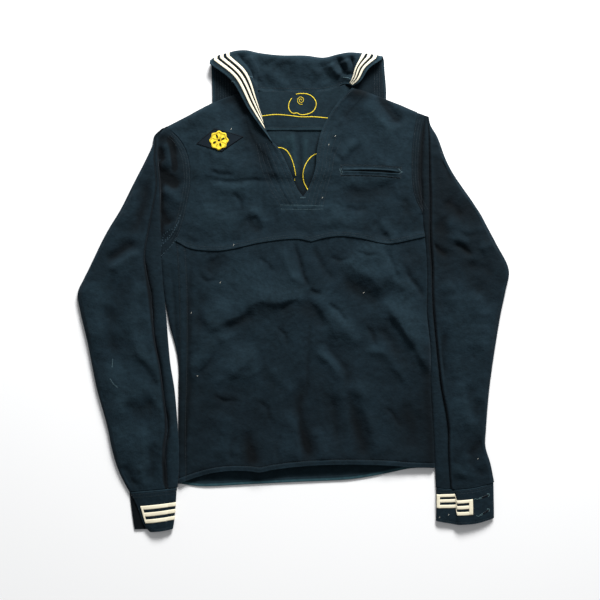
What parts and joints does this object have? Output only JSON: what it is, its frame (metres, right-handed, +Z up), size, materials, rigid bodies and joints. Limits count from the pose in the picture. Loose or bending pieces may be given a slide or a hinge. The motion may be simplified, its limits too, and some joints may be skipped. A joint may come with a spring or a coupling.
{
  "type": "sailor jumper",
  "caption": "Dark navy wool sailor jumper laid flat on its back, with a square back collar folded under, white tape stripes on collar and cuffs, a slashed neck, a yoke and a welt pocket",
  "frame": {"origin": "on the surface the jumper lies on, under the middle of its outline", "axes": "+X to the right as seen from above with the front up, which is the wearer's left; +Y towards the collar; +Z up from the surface"},
  "size_m": [0.752, 0.841, 0.0202],
  "materials": {
    "wool": "fulled navy wool cloth, matt with a faint nap",
    "wool_inside": "the same cloth's inner side, slightly smoother",
    "patch_cloth": "darker navy felt",
    "tape": "cream-white woven cotton tape",
    "embroidery": "yellow satin-stitched thread with a soft sheen"
  },
  "bodies": {
    "root": {"back": "wool", "front": "wool", "yoke": "wool", "neck_facing": "wool_inside", "slash_facing": "wool_inside", "collar": "wool", "collar_tape_1": "tape", "collar_tape_2": "tape", "collar_tape_3": "tape", "sleeve_left": "wool", "sleeve_right": "wool", "cuff_left": "wool", "cuff_right": "wool", "cuff_tape_left": "tape", "cuff_tape_right": "tape", "pocket_welt_upper": "wool", "pocket_welt_lower": "wool", "patch": "patch_cloth", "patch_motif": "embroidery"}
  },
  "joints": []
}
